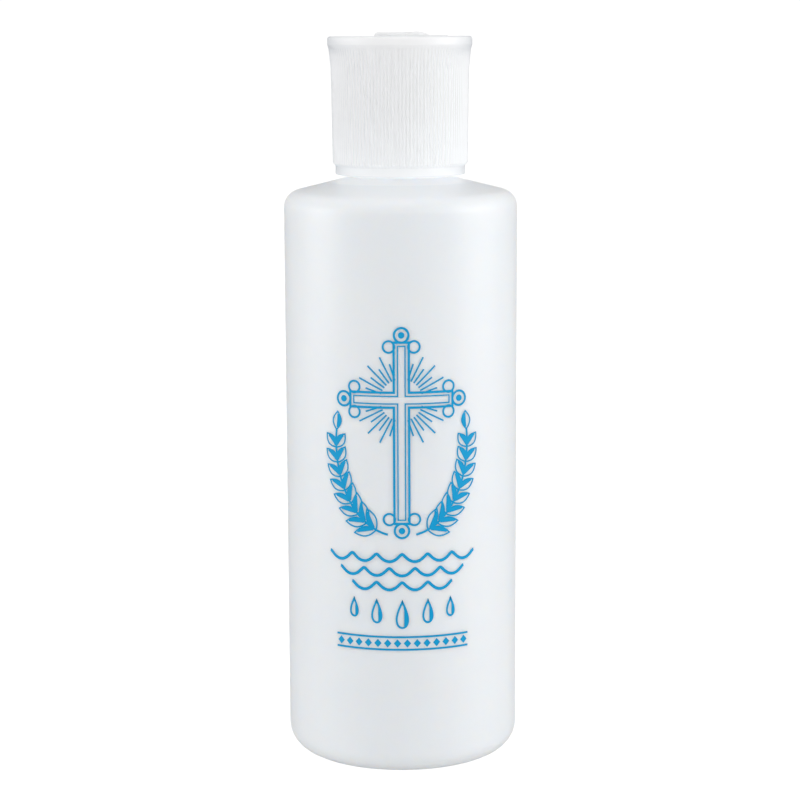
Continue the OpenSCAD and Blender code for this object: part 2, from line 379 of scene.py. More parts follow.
# %% [markdown]
# ## Cap skirt
# The skirt is moulded with fine upright ribs for grip. A bump map would show them from the front but leave
# the edge smooth, so they are real geometry: the wall is spun with eight columns to each rib, and the
# columns between two crests are drawn in. The ribs die out on the plain band below and under the lip above.

# %% Sizes of the cap
CAP_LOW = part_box("cap")[0].z / MM
RIM_Z = rim_z / MM
RIM_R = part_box("cap")[1].x / MM
SEAT_Z = LINER_HIGH
THREAD_GAP = 0.3
SKIRT_IN = NECK_R + THREAD_DEPTH + THREAD_GAP
BAND_R = SKIRT_IN + 1
BAND_Z = CAP_LOW + 1.8
SKIRT_LOW_R = BAND_R + 0.55
STEP_Z = BAND_Z + 0.6
SKIRT_R = SKIRT_LOW_R + 0.25
FLARE_R = SKIRT_R + 0.42
LIP_Z = RIM_Z - 2.5
LIP_SLOPE = 0.8
FLARE_Z = LIP_Z - 4
RIM_IN = RIM_R - 1.48
DECK_Z = RIM_Z - 1
DECK_T = 1.2
RIBS_END = LIP_Z + 0.1
RIBS_FADE = LIP_Z - 0.5
RIB_COUNT = 120
RIB_DEPTH = 0.2
RIB_DRAWN_IN = (0, 0.15, 0.5, 0.85, 1, 0.85, 0.5, 0.15)
print("cap from", round(CAP_LOW, 2), "to", round(RIM_Z, 2), "rim radius", round(RIM_R, 2))

# %% Skirt with ribs, lip and thread
skirt_corners = rounded([
    (SKIRT_IN, CAP_LOW, 0),
    (BAND_R, CAP_LOW, 0.3),
    (BAND_R, BAND_Z, 0.25),
    (SKIRT_LOW_R, STEP_Z, 0.35),
    (SKIRT_R, FLARE_Z, 14),
    (FLARE_R, LIP_Z, 0.1),
    (RIM_R, LIP_Z + LIP_SLOPE, 0.5),
    (RIM_R, RIM_Z, 0.6),
    (RIM_IN, RIM_Z, 0.35),
    (RIM_IN, DECK_Z - DECK_T, 0),
    (SKIRT_IN, DECK_Z - DECK_T, 0),
    (SKIRT_IN, THREAD_HIGH, 0),
    (SKIRT_IN, THREAD_LOW - PITCH, 0),
], 5)
THREAD_ROW = 0.25
PLAIN_ROW = 3.0


def cap_row(middle):
    """Longest stretch of the outline: short on the threaded inside, long elsewhere."""
    threaded = middle.x < SKIRT_IN + NEAR and THREAD_LOW - PITCH < middle.y < THREAD_HIGH
    return THREAD_ROW if threaded else PLAIN_ROW


skirt_outline = split_long(skirt_corners, cap_row, closed=True)


def skirt_shape(i, r, z, angle):
    """True radius on the skirt: the thread stands out of the inside, and the ribs are cut into the outside."""
    if r < SKIRT_IN + NEAR:
        rise = thread_rise(z, angle, THREAD_LOW - PITCH / 2, CAP_THREAD_FOOT, CAP_THREAD_CREST)
        return r - THREAD_DEPTH * rise
    column = round(angle / (2 * math.pi) * RIB_COUNT * len(RIB_DRAWN_IN)) % len(RIB_DRAWN_IN)
    ribbed = smooth_step(BAND_Z, STEP_Z, z) * (1 - smooth_step(RIBS_FADE, RIBS_END, z))
    return r - RIB_DEPTH * RIB_DRAWN_IN[column] * ribbed


skirt_turns = even_turns(RIB_COUNT * len(RIB_DRAWN_IN))
cap = spin("cap_body", skirt_outline, skirt_turns, True, skirt_shape)
print("skirt", len(cap.data.polygons), "faces")

# %% [markdown]
# ## Cap head
# Inside the rim lies a deck with a cradle for the spout, a round finger well in front of the spout's tip
# and, underneath, a ring that presses on the liner. These are cut and joined from plain shapes, as a mould
# maker would cut them. A bevel over the finished booleans would trip on their slivers, so each shape brings
# its own round edges: it is a plan swept through steps that grow or shrink it.

# %% Helpers for cutting and joining
EASE_STEPS = 4
OVER = 1.0


def apply_modifiers(piece):
    """Bakes a piece's modifiers into its mesh."""
    made = bpy.data.meshes.new_from_object(piece.evaluated_get(bpy.context.evaluated_depsgraph_get()))
    old = piece.data
    piece.modifiers.clear()
    piece.data = made
    made.name = old.name
    bpy.data.meshes.remove(old)


def carve(piece, tool, operation):
    """Joins a tool to a piece, cuts it out of the piece or keeps what they share."""
    step = piece.modifiers.new("carve", "BOOLEAN")
    step.operation = operation
    step.solver = "EXACT"
    step.object = tool
    apply_modifiers(piece)
    bpy.data.objects.remove(tool)


def close_up(piece):
    """Welds the points that cutting and joining left in one spot, and shades the piece anew."""
    bm = bmesh.new()
    bm.from_mesh(piece.data)
    bmesh.ops.remove_doubles(bm, verts=bm.verts, dist=WELD)
    bm.to_mesh(piece.data)
    bm.free()
    piece.data.shade_smooth()
    piece.data.set_sharp_from_angle(angle=SHARP)


def grown(outline, by):
    """The same outline, moved outward all round."""
    ring = list(zip(outline[-1:] + outline[:-1], outline, outline[1:] + outline[:1]))
    side = math.copysign(1, sum(a.x * b.y - b.x * a.y for a, b, c in ring))
    out = []
    for before, here, after in ring:
        u, v = (here - before).normalized(), (after - here).normalized()
        out.append(here + Vector((u.y + v.y, -u.x - v.x)) * side * by / (1 + u.dot(v)))
    return out


def eased(end, radius, inward):
    """Heights and growths of a rounded end. inward is 1 for an upper end and -1 for a lower one."""
    turns = [math.pi / 2 * k / EASE_STEPS for k in range(EASE_STEPS + 1)][::-inward]
    return [(end - inward * radius * (1 - math.cos(t)), -radius * (1 - math.sin(t))) for t in turns]


def flared(surface, radius):
    """Heights and growths of a cutting tool that leaves a round edge where it comes out of a surface."""
    turns = [math.pi / 2 * k / EASE_STEPS for k in range(EASE_STEPS + 1)]
    curve = [(surface - radius * (1 - math.sin(t)), radius * (1 - math.cos(t))) for t in turns]
    return curve + [(surface + OVER, radius)]


def prism(name, outline, profile, axis="Z"):
    """Solid of a plan in mm, swept through (height, growth) steps along Z, or along Y with the plan in XZ."""
    bm = bmesh.new()
    rings = []
    for height, growth in profile:
        ring = []
        for p in grown(outline, growth) if growth else outline:
            place = (p.x, p.y, height) if axis == "Z" else (p.x, height, p.y)
            ring.append(bm.verts.new(Vector(place) * MM))
        rings.append(ring)
    bm.faces.new(rings[0])
    bm.faces.new(rings[-1])
    for low, high in zip(rings, rings[1:]):
        for i in range(len(outline)):
            j = (i + 1) % len(outline)
            bm.faces.new((low[i], low[j], high[j], high[i]))
    return finish_mesh(name, bm)


def disc(x, y, radius, count=96):
    """Circle in a plan."""
    return [Vector((x + radius * math.cos(a), y + radius * math.sin(a))) for a in even_turns(count)]


def box_plan(x0, x1, y0, y1, radius=0.0):
    """Rectangle in a plan, with round corners."""
    return rounded([(x0, y0, radius), (x1, y0, radius), (x1, y1, radius), (x0, y1, radius)])


print("a square of 2 grown by 1 reaches", [tuple(p) for p in grown(box_plan(0, 2, 0, 2), 1)][::2])

# %% Sizes of the head
HUB_X = joints["spout_flip"]["pos_m"][0] / MM
HUB_Z = joints["spout_flip"]["pos_m"][2] / MM
HUB_R = 4.9
HUB_W = 7.6
HUB_GAP = 0.15
SIDE_GAP = 0.2
CRADLE_WALL = 1.2
CRADLE_R = HUB_R + HUB_GAP
CRADLE_TOP = RIM_Z + CRADLE_RISE / MM
CRADLE_LOW = HUB_Z - CRADLE_R - DECK_T
SLOT_HALF = HUB_W / 2 + SIDE_GAP
CRADLE_HALF = SLOT_HALF + CRADLE_WALL
PLATE_W = 6.4
TROUGH_HALF = PLATE_W / 2 + SIDE_GAP
NOZZLE_R = 2.6
WELL_R = 6.5
WELL_X = WELL_R + 0.5 - RIM_IN
WELL_Z = HUB_Z - NOZZLE_R - 0.4
WELL_WALL = 1.1
PIN_R = 1.2
PIN_GAP = 0.05
PASSAGE_R = 1.2
EDGE = 0.25
WELL_EDGE = 0.6
CRADLE_CORNER = 1.0
HEAD_COLUMNS = 192
BORE_SIDES = 48
HALF_STEPS = 64
SUNK = 0.4
SLIVER = 0.002
print("hub at", round(HUB_X, 2), round(HUB_Z, 2), "well at", round(WELL_X, 2), "floor", round(WELL_Z, 2))

# %% Deck with seal ring, cradle and cup of the finger well
# The deck's edge reaches a little into the skirt's wall, at a slant, so that no two faces share a plane
head = spin("head", rounded([
    (0, DECK_Z - DECK_T, 0),
    (BORE_R + NECK_EDGE, DECK_Z - DECK_T, 0),
    (BORE_R + NECK_EDGE, SEAT_Z, 0),
    (NECK_R - NECK_EDGE, SEAT_Z, 0),
    (NECK_R - NECK_EDGE, DECK_Z - DECK_T, 0),
    (SKIRT_IN - 0.2, DECK_Z - DECK_T, 0),
    (SKIRT_IN + 0.3, DECK_Z - DECK_T + 0.1, 0),
    (RIM_IN + 0.3, DECK_Z - 0.1, 0),
    (RIM_IN + 0.2, DECK_Z, 0),
    (0, DECK_Z, 0),
]), even_turns(HEAD_COLUMNS), False)
cradle_plan = box_plan(
    HUB_X - CRADLE_R - CRADLE_WALL, HUB_X + CRADLE_R + CRADLE_WALL, -CRADLE_HALF, CRADLE_HALF, CRADLE_CORNER
)
carve(head, prism("cradle", cradle_plan, [(CRADLE_LOW, 0)] + eased(CRADLE_TOP, EDGE, 1)), "UNION")
cup = prism("cup", disc(WELL_X, 0, WELL_R + WELL_WALL), [(WELL_Z - DECK_T, 0), (DECK_Z - DECK_T / 2, 0)])
skirt_room = [(WELL_Z - 3 * OVER, 0), (DECK_Z + 3 * OVER, 0)]
carve(cup, prism("skirt_room", disc(0, 0, SKIRT_IN + SUNK, HEAD_COLUMNS), skirt_room), "INTERSECT")
carve(head, cup, "UNION")
print("head before cutting", len(head.data.polygons), "faces")

# %% Room for the spout, the fingertip, the pins and the port
half_round = [math.pi * (1 + k / HALF_STEPS) for k in range(HALF_STEPS + 1)]
hub_plan = [Vector((HUB_X + CRADLE_R * math.cos(a), HUB_Z + CRADLE_R * math.sin(a))) for a in half_round]
hub_plan += [Vector((HUB_X + side * CRADLE_R, CRADLE_TOP + 3 * OVER)) for side in (1, -1)]
carve(head, prism("hub_room", hub_plan, [(-SLOT_HALF, 0), (SLOT_HALF, 0)], "Y"), "DIFFERENCE")
slot_plan = box_plan(HUB_X - CRADLE_R, HUB_X + CRADLE_R, -SLOT_HALF, SLOT_HALF)
carve(head, prism("slot_edge", grown(slot_plan, SLIVER), flared(CRADLE_TOP, EDGE)), "DIFFERENCE")
well = prism("finger_well", disc(WELL_X, 0, WELL_R), eased(WELL_Z, WELL_EDGE, -1) + flared(DECK_Z, EDGE))
carve(head, well, "DIFFERENCE")
trough = box_plan(WELL_X, HUB_X, -TROUGH_HALF, TROUGH_HALF)
carve(head, prism("trough", trough, [(WELL_Z + NEAR, 0)] + flared(CRADLE_TOP, EDGE / 2)), "DIFFERENCE")
pin_reach = CRADLE_HALF + 2 * OVER
pin_plan = disc(HUB_X, HUB_Z, PIN_R + PIN_GAP, BORE_SIDES)
carve(head, prism("pin_room", pin_plan, [(-pin_reach, 0), (pin_reach, 0)], "Y"), "DIFFERENCE")
port = prism("port", disc(HUB_X, 0, PASSAGE_R, BORE_SIDES), [(CRADLE_LOW - 2 * OVER, 0), (HUB_Z, 0)])
carve(head, port, "DIFFERENCE")
print("head top", round(max(v.co.z for v in head.data.vertices) / MM, 2), "wanted", round(CRADLE_TOP, 2))

# %% Head joined to the skirt
carve(cap, head, "UNION")
close_up(cap)
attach(cap, "cap")
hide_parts("cap")
print("cap", len(cap.data.polygons), "faces")

# %% [markdown]
# ## Spout
# The spout is one moulding: a round hub that turns on two stub pins, a nozzle with a passage through it,
# and a thumb plate on a web. It lies in the cap when closed, and only the top of the plate and the hub's
# crown show above the rim. It is built as the cap's head is, by joining swept plans and turned shapes, and
# the passage is cut last, so that it runs clean through all of them.

# %% Sizes of the spout
HUB_SIDES = 128
NOZZLE_SIDES = 96
PASSAGE_SIDES = 64
HUB_EDGE = 0.3
NOZZLE_LEN = 11.4
TIP_R = 2.0
TIP_LEN = 1.2
TIP_SLOPE = 0.4
PLATE_LEN = 8.7
PLATE_T = 1.2
PLATE_TOP = HUB_R - 0.1
WEB_T = 1.8
PIN_END = HUB_W / 2 + CRADLE_WALL + SIDE_GAP / 2
SMALL_EDGE = 0.2


def along_spout(piece):
    """Lays a piece turned round Z on its side, so that it points from the hub to the tip."""
    hub = Matrix.Translation((HUB_X * MM, 0, HUB_Z * MM))
    piece.data.transform(hub @ Matrix.Rotation(-math.pi / 2, 4, "Y"))


def both_ends(half, radius):
    """Heights and growths of a piece that lies evenly across the middle, with round edges."""
    return eased(-half, radius, -1) + eased(half, radius, 1)


print("spout from hub to tip", NOZZLE_LEN, "mm, pins to", round(PIN_END, 2), "mm each side")

# %% Spout
spout = prism("spout_body", disc(HUB_X, HUB_Z, HUB_R, HUB_SIDES), both_ends(HUB_W / 2, HUB_EDGE), "Y")
pins = prism("pins", disc(HUB_X, HUB_Z, PIN_R, BORE_SIDES), both_ends(PIN_END, SMALL_EDGE), "Y")
carve(spout, pins, "UNION")
nozzle = spin("nozzle", rounded([
    (0, 0, 0),
    (NOZZLE_R, 0, 0),
    (TIP_R + 0.1, NOZZLE_LEN - TIP_LEN - TIP_SLOPE, 0.4),
    (TIP_R, NOZZLE_LEN - TIP_LEN, 0.3),
    (TIP_R, NOZZLE_LEN, 0.35),
    (0, NOZZLE_LEN, 0),
], 4), even_turns(NOZZLE_SIDES), False)
along_spout(nozzle)
carve(spout, nozzle, "UNION")
plate_plan = rounded([
    (HUB_X, HUB_Z + PLATE_TOP - PLATE_T, 0),
    (HUB_X, HUB_Z + PLATE_TOP, 0),
    (HUB_X - PLATE_LEN, HUB_Z + PLATE_TOP, 0.85),
    (HUB_X - PLATE_LEN, HUB_Z + PLATE_TOP - PLATE_T, 0.25),
], 4)
carve(spout, prism("plate", plate_plan, both_ends(PLATE_W / 2, SMALL_EDGE), "Y"), "UNION")
web_plan = box_plan(HUB_X - PLATE_LEN + PLATE_T, HUB_X, HUB_Z, HUB_Z + PLATE_TOP - PLATE_T / 2)
carve(spout, prism("web", web_plan, [(-WEB_T / 2, 0), (WEB_T / 2, 0)], "Y"), "UNION")
passage = spin("passage", rounded([
    (0, -HUB_R - OVER, 0),
    (PASSAGE_R, -HUB_R - OVER, 0),
    (PASSAGE_R, NOZZLE_LEN + OVER, 0),
    (0, NOZZLE_LEN + OVER, 0),
]), even_turns(PASSAGE_SIDES), False)
along_spout(passage)
carve(spout, passage, "DIFFERENCE")
close_up(spout)
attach(spout, "spout")
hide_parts("spout")
print("spout", len(spout.data.polygons), "faces")

# %% [markdown]
# ## Print
# The front carries a screen print in one blue ink. Here it is a plain traditional design: a budded cross
# with rays, two leafy sprigs, lines of water with falling drops, and a small border. Every stroke is a thin
# raised ribbon laid on the barrel. A texture would be easier, but ribbons stay sharp at any distance.

# %% Strokes as ribbons on the barrel
INK_PROUD = 0.02
INK_SUNK = 0.03
STROKE_STEP = 1.0
print_mesh = bmesh.new()


def on_barrel(u, v, lift):
    """Point of the barrel u mm round from the middle of the front and v mm up."""
    angle = u / BODY_R - math.pi / 2
    r = (barrel_radius(v, angle) + lift) * MM
    return (r * math.cos(angle), r * math.sin(angle), v * MM)


def stroke(points, width, closed=False):
    """Ribbon of ink along points (u, v), with mitred bends."""
    points = split_long([Vector(p) for p in points], lambda middle: STROKE_STEP, closed)
    count = len(points)
    rails = []
    for i, p in enumerate(points):
        before = points[i - 1] if i or closed else p
        after = points[(i + 1) % count] if i < count - 1 or closed else p
        a = (p - before).normalized() if (p - before).length else (after - p).normalized()
        b = (after - p).normalized() if (after - p).length else a
        across = Vector((-(a + b).y, (a + b).x)).normalized()
        reach = width / 2 / max(0.4, across.dot(Vector((-b.y, b.x))))
        sides = (p + across * reach, p - across * reach)
        rails.append([
            print_mesh.verts.new(on_barrel(q.x, q.y, lift)) for lift in (INK_PROUD, -INK_SUNK) for q in sides
        ])
    for i in range(count if closed else count - 1):
        m, n = rails[i], rails[(i + 1) % count]
        for j, k in ((0, 1), (1, 3), (3, 2), (2, 0)):
            print_mesh.faces.new((m[j], m[k], n[k], n[j]))
    if not closed:
        for end in (rails[0], rails[-1]):
            print_mesh.faces.new((end[0], end[1], end[3], end[2]))


def patch(points):
    """Solid spot of ink inside a small outline of points (u, v)."""
    middle = sum((Vector(p) for p in points), Vector((0, 0))) / len(points)
    ends = [print_mesh.verts.new(on_barrel(*middle, lift)) for lift in (INK_PROUD, -INK_SUNK)]
    rims = [[print_mesh.verts.new(on_barrel(*p, lift)) for p in points] for lift in (INK_PROUD, -INK_SUNK)]
    for i in range(len(points)):
        j = (i + 1) % len(points)
        print_mesh.faces.new((ends[0], rims[0][i], rims[0][j]))
        print_mesh.faces.new((ends[1], rims[1][j], rims[1][i]))
        print_mesh.faces.new((rims[0][i], rims[1][i], rims[1][j], rims[0][j]))


def dot(u, v, radius, count=20):
    """Round spot of ink."""
    patch([(u + radius * math.cos(a), v + radius * math.sin(a)) for a in even_turns(count)])


def ring(u, v, radius, width, count=28):
    """Circle of ink."""
    stroke([(u + radius * math.cos(a), v + radius * math.sin(a)) for a in even_turns(count)], width, True)


def run(path, steps=24):
    """Points of a path(t) for t from 0 to 1."""
    return [path(k / steps) for k in range(steps + 1)]


print("ink stands", round(-on_barrel(0, BARREL_HIGH / 2, INK_PROUD)[1] / MM, 3), "mm from the axis in front")

# %% Budded cross
CROSS_V = 77.5
ARM_HALF = 1.5
ARM_UP = 11.5
ARM_SIDE = 10.5
ARM_DOWN = 25
BUD_R = 1.45
BUD_DOT_R = BUD_R * 0.45
SIDE_BUD_R = BUD_R * 0.8
SIDE_BUD_OUT = ARM_HALF + BUD_R * 0.7
SIDE_BUD_BACK = BUD_R * 0.6
INLINE = 0.75
CROSS_LINE, INLINE_LINE, BUD_LINE, SIDE_BUD_LINE = 0.46, 0.26, 0.44, 0.4


def cross_outline(half, shorter):
    """Twelve corners of a plain Latin cross, or of a thinner one inside it."""
    up, side, down = ARM_UP - shorter, ARM_SIDE - shorter, ARM_DOWN - shorter
    quarter = [(half, up), (half, half), (side, half), (side, -half), (half, -half), (half, -down)]
    return [(u, CROSS_V + v) for u, v in quarter] + [(-u, CROSS_V + v) for u, v in quarter[::-1]]


stroke(cross_outline(ARM_HALF, 0), CROSS_LINE, True)
stroke(cross_outline(ARM_HALF - INLINE, INLINE), INLINE_LINE, True)
for reach, out_u, out_v in ((ARM_UP, 0, 1), (ARM_DOWN, 0, -1), (ARM_SIDE, 1, 0), (ARM_SIDE, -1, 0)):
    tip_u, tip_v = reach * out_u, CROSS_V + reach * out_v
    ring(tip_u + out_u * BUD_R, tip_v + out_v * BUD_R, BUD_R, BUD_LINE)
    dot(tip_u + out_u * BUD_R, tip_v + out_v * BUD_R, BUD_DOT_R)
    for turn in (-1, 1):
        across = turn * SIDE_BUD_OUT
        u, v = tip_u + out_v * across - out_u * SIDE_BUD_BACK, tip_v + out_u * across - out_v * SIDE_BUD_BACK
        ring(u, v, SIDE_BUD_R, SIDE_BUD_LINE)
print("cross", len(print_mesh.faces), "faces")

# %% Rays between the arms
RAYS = 7
RAY_STEP = 9
RAY_NEAR, RAY_FAR, RAY_SHORT = 4.2, 9.6, 7.6
RAY_LINE = 0.32
for quadrant in range(4):
    for k in range(RAYS):
        a = math.radians(90 * quadrant + 45 + RAY_STEP * (k - (RAYS - 1) / 2))
        ends = (RAY_NEAR, RAY_FAR if k % 2 else RAY_SHORT)
        stroke([(far * math.cos(a), CROSS_V + far * math.sin(a)) for far in ends], RAY_LINE)
print("with rays", len(print_mesh.faces), "faces")

# %% Sprigs
LEAVES = 9
LEAF_LEN = 4.6
LEAF_HALF = 0.95
LEAF_LEAN = math.radians(38)
LEAF_STEPS = 12
STEM_FROM, STEM_TURN = -80, 88
STEM_V, STEM_WIDE, STEM_TALL = 68.5, 13.6, 18.5
STEM_LINE, LEAF_LINE = 0.44, 0.3


def sprig_stem(t, side):
    """Stem that rises from under the cross and bows out to one side."""
    a = math.radians(STEM_FROM + STEM_TURN * t)
    return (side * STEM_WIDE * (math.cos(a) * 0.98 + 0.04), STEM_V + STEM_TALL * math.sin(a))


def leaf(root, angle, length, shaded):
    """Pointed leaf, solid on one side of its midrib."""
    c, s = math.cos(angle), math.sin(angle)

    def edge(side):
        return lambda t: (
            root[0] + length * t * c - side * LEAF_HALF * math.sin(math.pi * t) ** 0.9 * s,
            root[1] + length * t * s + side * LEAF_HALF * math.sin(math.pi * t) ** 0.9 * c,
        )

    stroke(run(edge(1), LEAF_STEPS) + run(edge(-1), LEAF_STEPS)[-2:0:-1], LEAF_LINE, True)
    half = run(edge(shaded), LEAF_STEPS)[1:-1]
    patch(half + [(root[0] + length * t * c, root[1] + length * t * s) for t in (0.85, 0.5, 0.15)])


for side in (-1, 1):
    stroke(run(lambda t: sprig_stem(t, side), 36), STEM_LINE)
    for k in range(LEAVES):
        t = 0.12 + 0.86 * k / (LEAVES - 1)
        u, v = sprig_stem(t, side)
        u2, v2 = sprig_stem(t + 0.01, side)
        heading = math.atan2(v2 - v, u2 - u)
        for lean in (-1, 1):
            if k < LEAVES - 1:
                leaf((u, v), heading + lean * LEAF_LEAN, LEAF_LEN * (1 - 0.035 * k), -lean)
    leaf(sprig_stem(1, side), heading, LEAF_LEN * 0.8, side)
print("with sprigs", len(print_mesh.faces), "faces")

# %% Lines of water and drops
WAVE_RISE = 0.75
WAVE_LINE, DROP_LINE = 0.6, 0.4
WAVES = ((45.5, 15.5, 6), (42.6, 13, 5), (39.7, 10.4, 4))
DROPS = ((-10, 35.0, 2.0), (-5.2, 34.4, 2.5), (0, 33.8, 3.0), (5.2, 34.4, 2.5), (10, 35.0, 2.0))


def wave_line(v, half, crests, amp):
    """Line of water with rolling crests."""
    return run(lambda t: (
        half * (2 * t - 1) - 0.5 * amp * math.sin(2 * math.pi * crests * t),
        v + amp * math.cos(2 * math.pi * crests * t),
    ), 24 * crests)


for v, half, crests in WAVES:
    stroke(wave_line(v, half, crests, WAVE_RISE), WAVE_LINE)


def drop(u, v, size):
    """Falling drop, solid on its right side."""
    edge = run(lambda t: (
        u + size * 0.52 * math.sin(2 * math.pi * t) * math.sin(math.pi * t) ** 1.2,
        v + size * 0.9 * math.cos(2 * math.pi * t),
    ), 30)
    stroke(edge[:-1], DROP_LINE, True)
    patch(edge[2:15] + [(u + size * 0.12, v - size * k) for k in (0.6, 0.3, 0, -0.3)])


for u, v, size in DROPS:
    drop(u, v, size)
print("with water", len(print_mesh.faces), "faces")

# %% Border, and the print as one piece
BORDER_LINE = 0.4
BORDER_HALF = 14
BORDER_LOW, BORDER_HIGH = 26.6, 29.2
LOZENGE_W, LOZENGE_H = 0.75, 0.85
for v in (BORDER_HIGH, BORDER_LOW):
    stroke([(u, v) for u in range(-BORDER_HALF, BORDER_HALF + 1)], BORDER_LINE)
v = (BORDER_LOW + BORDER_HIGH) / 2
for u in range(-BORDER_HALF + 1, BORDER_HALF, 2):
    patch([(u - LOZENGE_W, v), (u, v + LOZENGE_H), (u + LOZENGE_W, v), (u, v - LOZENGE_H)])
ink = finish_mesh("front_print", print_mesh)
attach(ink, "bottle")
print("print", len(ink.data.polygons), "faces")

# %% [markdown]
# ## Finishes
# All the plastic here is the natural, uncoloured kind: milky, with a soft bloom under a satin skin. Four
# effects are shared. Cloud varies the milkiness, grain is the fine texture that a sand-blasted mould
# leaves, rubbing is the shine and the hairlines of handling, and the crease glow is painted light: an
# emission in narrow gaps, standing in for the light that comes through the thin walls. Each is a node
# group, placed in a finish with its own values.
# Noise is used rather than painted maps, because it needs no unwrapping and has no seams.

# %% Helpers for node groups
def new_group(name, inputs, outputs):
    """Empty shader group with float or colour sockets."""
    group = bpy.data.node_groups.new(name, "ShaderNodeTree")
    for label, kind, value in inputs:
        group.interface.new_socket(label, in_out="INPUT", socket_type=kind).default_value = value
    for label, kind in outputs:
        group.interface.new_socket(label, in_out="OUTPUT", socket_type=kind)
    return group, group.nodes.new("NodeGroupInput"), group.nodes.new("NodeGroupOutput")


def feed(tree, socket, value):
    """Gives a socket a plain value, or a link if the value comes from another node."""
    if isinstance(value, bpy.types.NodeSocket):
        tree.links.new(value, socket)
    else:
        socket.default_value = value


def math_node(tree, operation, *values):
    """Math node with linked or plain values."""
    node = tree.nodes.new("ShaderNodeMath")
    node.operation = operation
    for socket, value in zip(node.inputs, values):
        feed(tree, socket, value)
    return node.outputs[0]


def mix_node(tree, factor, a, b, blend="MIX"):
    """Mix of two colours, linked or plain."""
    node = tree.nodes.new("ShaderNodeMix")
    node.data_type = "RGBA"
    node.blend_type = blend
    for label, kind, value in (("Factor", "VALUE", factor), ("A", "RGBA", a), ("B", "RGBA", b)):
        feed(tree, next(i for i in node.inputs if i.name == label and i.type == kind), value)
    return next(o for o in node.outputs if o.type == "RGBA")


def noise_node(tree, scale, detail, stretch=(1, 1, 1)):
    """Noise over the piece's own coordinates, in features per metre, stretched along an axis."""
    place = tree.nodes.new("ShaderNodeTexCoord")
    mapping = tree.nodes.new("ShaderNodeMapping")
    mapping.inputs["Scale"].default_value = stretch
    noise = tree.nodes.new("ShaderNodeTexNoise")
    noise.inputs["Detail"].default_value = detail
    tree.links.new(place.outputs["Object"], mapping.inputs["Vector"])
    tree.links.new(mapping.outputs["Vector"], noise.inputs["Vector"])
    feed(tree, noise.inputs["Scale"], scale)
    return noise.outputs["Fac"]


# %% Cloud
FLOAT, COLOUR = "NodeSocketFloat", "NodeSocketColor"
STREAKS = (4, 4, 0.3)
cloud, cloud_in, cloud_out = new_group(
    "cloud",
    [("Clear", COLOUR, (0.8, 0.8, 0.8, 1)), ("Milky", COLOUR, (0.9, 0.9, 0.9, 1)), ("Scale", FLOAT, 60.0)],
    [("Color", COLOUR)],
)
cloud_blobs = noise_node(cloud, cloud_in.outputs["Scale"], 3)
cloud_streaks = noise_node(cloud, cloud_in.outputs["Scale"], 2, STREAKS)
half_streaks = math_node(cloud, "MULTIPLY", cloud_streaks, 0.5)
cloudiness = math_node(cloud, "MULTIPLY_ADD", cloud_blobs, 0.5, half_streaks)
milkiness = mix_node(cloud, cloudiness, cloud_in.outputs["Clear"], cloud_in.outputs["Milky"])
cloud.links.new(milkiness, cloud_out.inputs["Color"])
print("group", cloud.name, len(cloud.nodes), "nodes")

# %% Rubbing and grain
RUBBED_SCALE, HAIR_SCALE, UNEVEN_SCALE = 90, 400, 120
HAIR_LIMIT = 0.68
rubbing, rubbing_in, rubbing_out = new_group(
    "rubbing",
    [("Satin", FLOAT, 0.4), ("Shine", FLOAT, 0.1), ("Hairlines", FLOAT, 0.1)],
    [("Roughness", FLOAT)],
)
rubbed = noise_node(rubbing, RUBBED_SCALE, 4)
hair = noise_node(rubbing, HAIR_SCALE, 2, (1, 1, 9))
hair_peaks = math_node(rubbing, "GREATER_THAN", hair, HAIR_LIMIT)
lines = math_node(rubbing, "MULTIPLY", hair_peaks, rubbing_in.outputs["Hairlines"])
shine = math_node(rubbing, "MULTIPLY", rubbed, rubbing_in.outputs["Shine"])
rough = math_node(rubbing, "SUBTRACT", math_node(rubbing, "ADD", rubbing_in.outputs["Satin"], lines), shine)
rubbing.links.new(rough, rubbing_out.inputs["Roughness"])

grain, grain_in, grain_out = new_group(
    "grain", [("Fine", FLOAT, 4000.0), ("Uneven", FLOAT, 0.5)], [("Height", FLOAT)]
)
fine = noise_node(grain, grain_in.outputs["Fine"], 2)
uneven = math_node(grain, "MULTIPLY", noise_node(grain, UNEVEN_SCALE, 2), grain_in.outputs["Uneven"])
grain.links.new(math_node(grain, "ADD", fine, uneven), grain_out.inputs["Height"])
print("groups", rubbing.name, len(rubbing.nodes), "nodes,", grain.name, len(grain.nodes), "nodes")

# %% Painted glow in narrow gaps, between two heights
BLACK = (0, 0, 0, 1)
painted_crease_glow, painted_crease_glow_in, painted_crease_glow_out = new_group(
    "painted_crease_glow",
    [("Light", COLOUR, (0.1, 0.1, 0.1, 1)), ("Reach", FLOAT, 0.003), ("Low", FLOAT, 0.0), ("High", FLOAT, 1.0)],
    [("Color", COLOUR)],
)
# Painted light: the glow is strongest where ambient occlusion finds the surface shut in
hollow = painted_crease_glow.nodes.new("ShaderNodeAmbientOcclusion")
hollow.samples = 4
painted_crease_glow.links.new(painted_crease_glow_in.outputs["Reach"], hollow.inputs["Distance"])
shut_in = math_node(painted_crease_glow, "SUBTRACT", 1, hollow.outputs["AO"])
spot = painted_crease_glow.nodes.new("ShaderNodeTexCoord")
height = painted_crease_glow.nodes.new("ShaderNodeSeparateXYZ")
painted_crease_glow.links.new(spot.outputs["Object"], height.inputs["Vector"])
over = math_node(painted_crease_glow, "GREATER_THAN", height.outputs["Z"], painted_crease_glow_in.outputs["Low"])
under = math_node(painted_crease_glow, "LESS_THAN", height.outputs["Z"], painted_crease_glow_in.outputs["High"])
in_band = math_node(painted_crease_glow, "MULTIPLY", shut_in, math_node(painted_crease_glow, "MULTIPLY", over, under))
painted_crease_glow.links.new(mix_node(painted_crease_glow, in_band, BLACK, painted_crease_glow_in.outputs["Light"]), painted_crease_glow_out.inputs["Color"])
print("group", painted_crease_glow.name, len(painted_crease_glow.nodes), "nodes")
